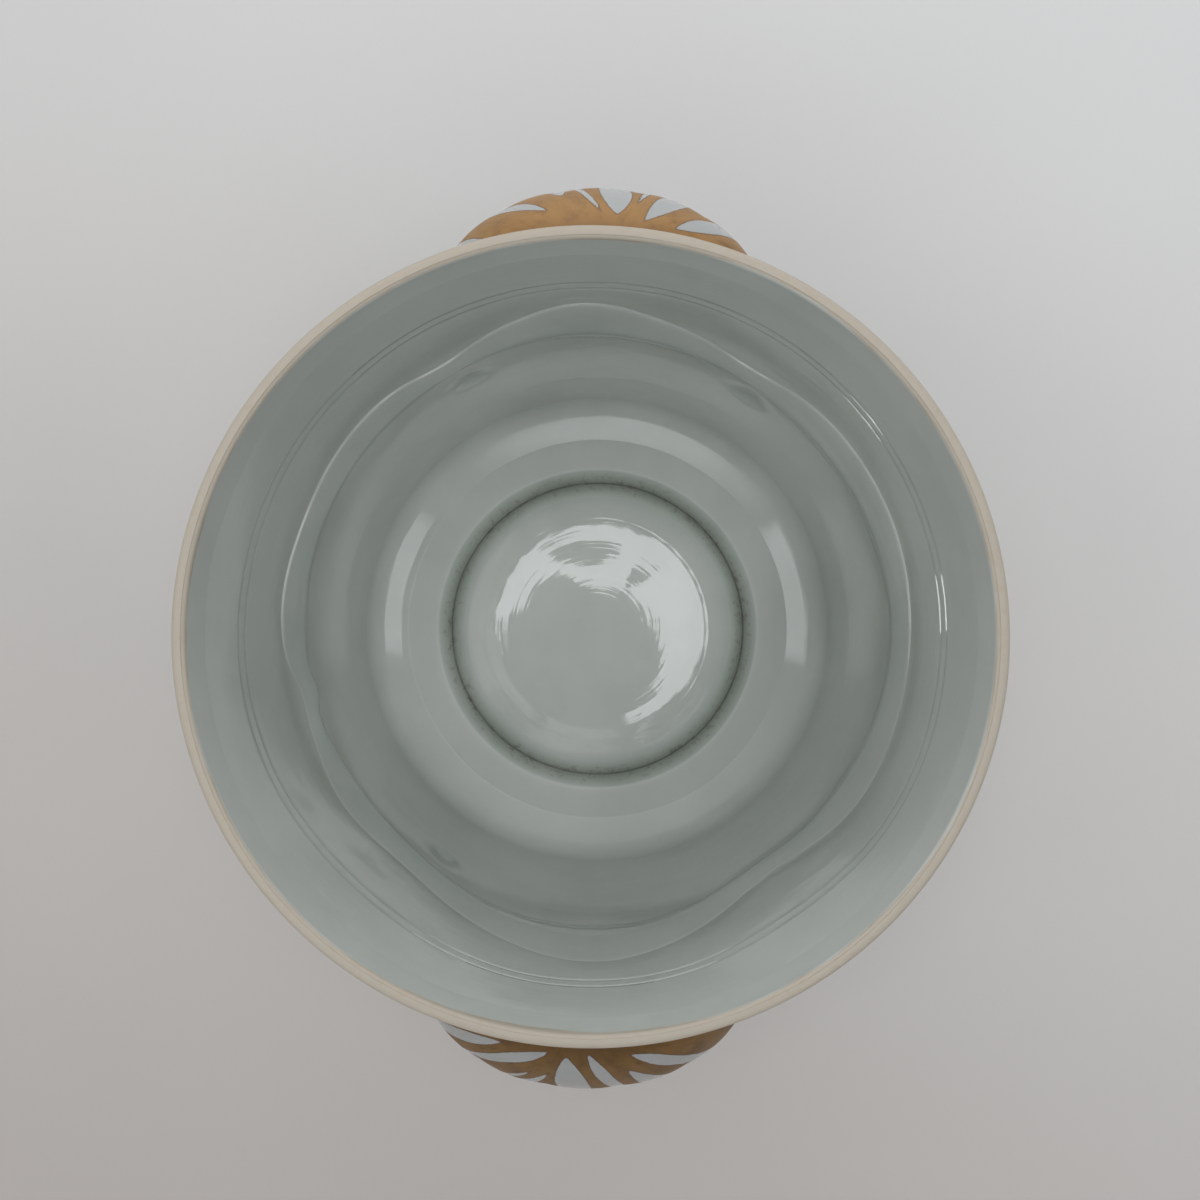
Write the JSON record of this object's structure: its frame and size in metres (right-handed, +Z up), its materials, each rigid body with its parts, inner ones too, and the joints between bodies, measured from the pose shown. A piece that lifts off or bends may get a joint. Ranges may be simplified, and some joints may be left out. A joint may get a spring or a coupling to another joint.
{
  "type": "cache pot",
  "caption": "Round porcelain cache pot with a domed floor, a foot ring and a gilded shell handle on each side; it hides a plain flower pot.",
  "frame": {"origin": "centre of the pot in plan, on the surface that its foot ring stands on", "axes": "+Z up through the mouth, +Y to the back handle, +X to the right seen from above with the back handle at the top"},
  "size_m": [0.202, 0.25, 0.168],
  "materials": {
    "glaze": "clear glossy glaze with a grey-green cast on porcelain, bare at the lip",
    "gilding": "worn orange gilding over glaze, with white reserves"
  },
  "bodies": {
    "root": {"upper_wall": "glaze", "lower_bowl": "glaze", "floor_disc": "glaze", "foot_ring": "glaze", "back_handle": "gilding", "front_handle": "gilding"}
  },
  "joints": []
}
